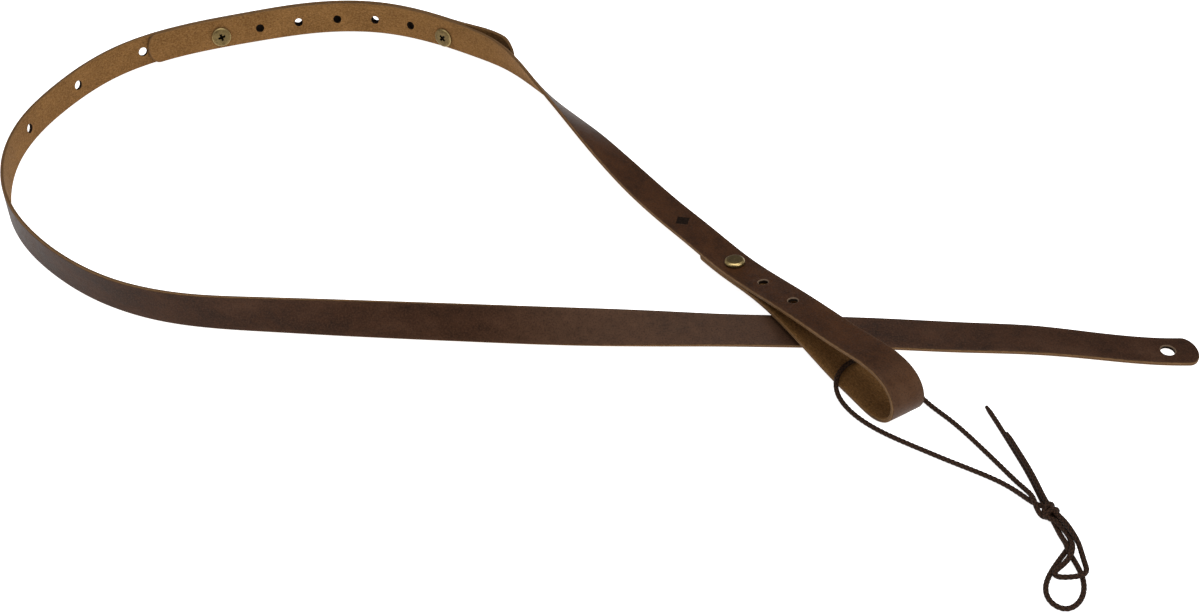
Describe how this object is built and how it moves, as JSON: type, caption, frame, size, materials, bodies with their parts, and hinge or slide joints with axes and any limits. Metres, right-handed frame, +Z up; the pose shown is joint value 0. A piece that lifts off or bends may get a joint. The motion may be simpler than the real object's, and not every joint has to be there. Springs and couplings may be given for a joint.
{
  "type": "guitar strap",
  "caption": "Skinny leather guitar strap in two overlapping straps, joined by screw posts, with a folded headstock loop, a braided lace tied in a bow, and a tail button hole.",
  "frame": {"origin": "centre of the tail button hole, on the surface the strap lies on", "axes": "+Z up, +X from the coiled middle of the strap towards its tail end, +Y away from the lace"},
  "size_m": [0.6259, 0.4759, 0.0282],
  "materials": {
    "tail_leather": "waxed brown grain outside, tan suede inside, burnished tan edges",
    "headstock_leather": "waxed reddish brown grain outside, tan suede inside, burnished tan edges",
    "antique_brass": "antique brass plate, dark in its recesses and rubbed bright on its rims",
    "braided_lace": "dark brown round braid, lightly waxed"
  },
  "bodies": {
    "root": {"tail_strap": "tail_leather", "headstock_strap": "headstock_leather", "lace_tie_loop": "braided_lace", "lace_knot": "braided_lace", "lace_large_bow": "braided_lace", "lace_small_bow": "braided_lace", "lace_long_end": "braided_lace", "lace_short_end": "braided_lace"},
    "rear_adjuster_screw": {"rear_adjuster_screw": "antique_brass"},
    "rear_adjuster_post": {"rear_adjuster_post": "antique_brass"},
    "front_adjuster_screw": {"front_adjuster_screw": "antique_brass"},
    "front_adjuster_post": {"front_adjuster_post": "antique_brass"},
    "loop_screw": {"loop_screw": "antique_brass"},
    "loop_post": {"loop_post": "antique_brass"}
  },
  "joints": [
    {"name": "rear_adjuster_post_release", "type": "slide", "parent": "root", "child": "rear_adjuster_post", "axis": [-0.3588, 0.9267, -0.1117], "range_m": [0, 0.0035]},
    {"name": "rear_adjuster_screw_turn", "type": "hinge", "parent": "root", "child": "rear_adjuster_screw", "pos_m": [-0.51628, 0.2896, 0.00762], "axis": [0.3588, -0.9267, 0.1117], "range_deg": [0, 1800]},
    {"name": "front_adjuster_post_release", "type": "slide", "parent": "root", "child": "front_adjuster_post", "axis": [0.5108, 0.8581, -0.0518], "range_m": [0, 0.0035]},
    {"name": "front_adjuster_screw_turn", "type": "hinge", "parent": "root", "child": "front_adjuster_screw", "pos_m": [-0.37616, 0.2898, 0.00699], "axis": [-0.5108, -0.8581, 0.0518], "range_deg": [0, 1800]},
    {"name": "loop_post_release", "type": "slide", "parent": "root", "child": "loop_post", "axis": [-0.059, 0.0944, 0.9938], "range_m": [0, 0.0035]},
    {"name": "loop_screw_turn", "type": "hinge", "parent": "root", "child": "loop_screw", "pos_m": [-0.20983, 0.06082, 0.00625], "axis": [0.059, -0.0944, -0.9938], "range_deg": [0, 1800]}
  ],
  "couplings": [
    {"joint": "rear_adjuster_screw_turn", "follows": "rear_adjuster_post_release", "rad_per_m": 8975.9},
    {"joint": "front_adjuster_screw_turn", "follows": "front_adjuster_post_release", "rad_per_m": 8975.9},
    {"joint": "loop_screw_turn", "follows": "loop_post_release", "rad_per_m": 8975.9}
  ]
}
